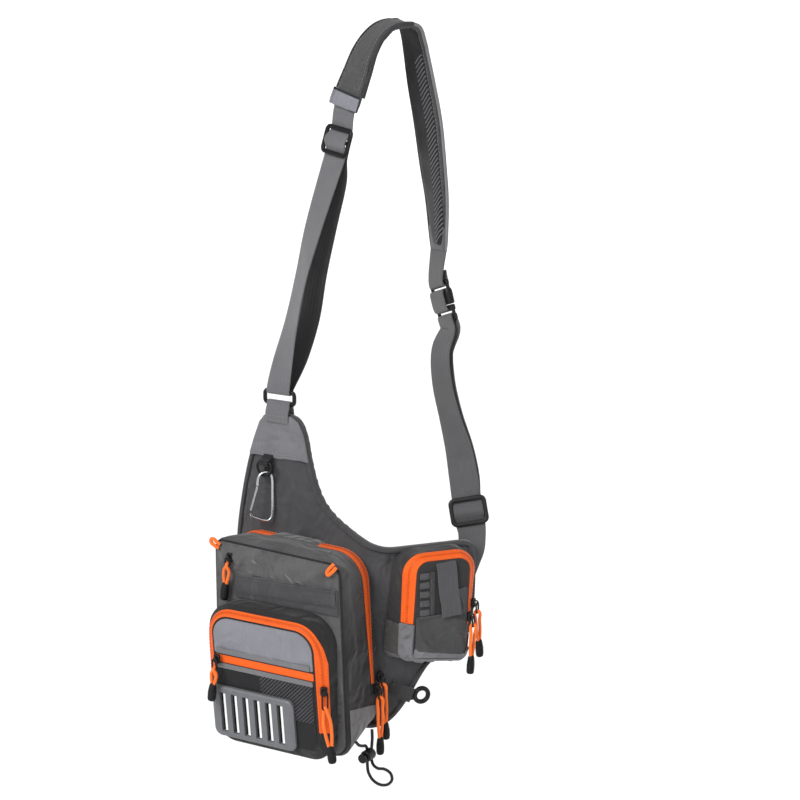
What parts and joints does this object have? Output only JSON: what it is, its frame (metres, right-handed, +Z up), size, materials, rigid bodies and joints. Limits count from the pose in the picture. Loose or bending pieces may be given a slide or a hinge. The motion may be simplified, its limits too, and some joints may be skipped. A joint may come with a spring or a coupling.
{
  "type": "sling pack",
  "caption": "Fishing sling pack with padded back panel, zipped main, front and side pockets, lanyard carabiner and a padded shoulder strap with a buckle, held by its strap.",
  "frame": {"origin": "under the top of the padded shoulder strap, where a hook or a shoulder carries the pack", "axes": "+X to the right along the front of the main compartment, +Y towards the wearer's back, +Z up"},
  "size_m": [0.3342, 0.3286, 0.9451],
  "materials": {
    "dark_cloth": "plain-woven charcoal nylon",
    "light_cloth": "light grey coated fabric",
    "webbing": "mid grey woven webbing",
    "binding": "dark edge binding",
    "orange_tape": "orange woven tape and cord",
    "mesh_cloth": "dark open mesh",
    "black_cord": "black braided elastic cord",
    "black_plastic": "satin black moulding",
    "grey_plastic": "grey moulding",
    "white_plastic": "white moulding",
    "steel": "bright wire"
  },
  "bodies": {
    "pack": {"back_panel": "dark_cloth", "panel_piping": "binding", "peak_patch": "light_cloth", "main_shell": "dark_cloth", "main_zip": "orange_tape", "foot_patch": "light_cloth", "slip_pocket": "dark_cloth", "front_band": "dark_cloth", "lash_loop_left": "orange_tape", "lash_loop_right": "orange_tape", "main_upper_slider": "black_plastic", "main_upper_pull": "orange_tape", "main_lower_slider": "black_plastic", "main_lower_pull": "orange_tape", "slip_slider": "black_plastic", "slip_pull": "orange_tape", "front_shell": "dark_cloth", "front_zip": "orange_tape", "front_flap": "light_cloth", "cross_zip": "orange_tape", "mesh_panel": "mesh_cloth", "moulded_plate": "grey_plastic", "plate_insert": "white_plastic", "front_slider": "black_plastic", "front_pull": "orange_tape", "cross_slider": "black_plastic", "cross_pull": "orange_tape", "side_shell": "dark_cloth", "side_zip": "orange_tape", "side_trim": "light_cloth", "side_sleeve": "dark_cloth", "side_closer": "webbing", "side_upper_slider": "black_plastic", "side_upper_pull": "orange_tape", "side_lower_slider": "black_plastic", "side_lower_pull": "orange_tape", "net_ring": "black_plastic", "ring_tab": "webbing", "drawcord": "black_cord", "cord_lock": "black_plastic", "carabiner_tab": "webbing", "strap_ring": "black_plastic", "peak_tab": "webbing", "left_glide": "black_plastic", "left_webbing": "webbing", "shoulder_pad": "dark_cloth", "pad_patch": "light_cloth", "buckle_socket": "black_plastic", "buckle_tongue": "black_plastic", "upper_webbing": "webbing", "right_glide": "black_plastic", "right_webbing": "webbing"},
    "carabiner": {"d_ring": "black_plastic", "carabiner": "steel"},
    "gate": {"carabiner_gate": "steel"},
    "lock_button": {"lock_button": "black_plastic"}
  },
  "joints": [
    {"name": "dring_swing", "type": "hinge", "parent": "pack", "child": "carabiner", "pos_m": [-0.126, -0.1265, -0.546], "axis": [-1, 0, 0], "range_deg": [0, 80]},
    {"name": "gate_hinge", "type": "hinge", "parent": "carabiner", "child": "gate", "pos_m": [-0.13268, -0.13318, -0.578], "axis": [0.7071, -0.7071, 0], "range_deg": [0, 25], "stiffness_Nm_per_rad": 0.1},
    {"name": "lock_press", "type": "slide", "parent": "pack", "child": "lock_button", "axis": [0, 1, 0], "range_m": [0, 0.0035], "stiffness_N_per_m": 300}
  ]
}
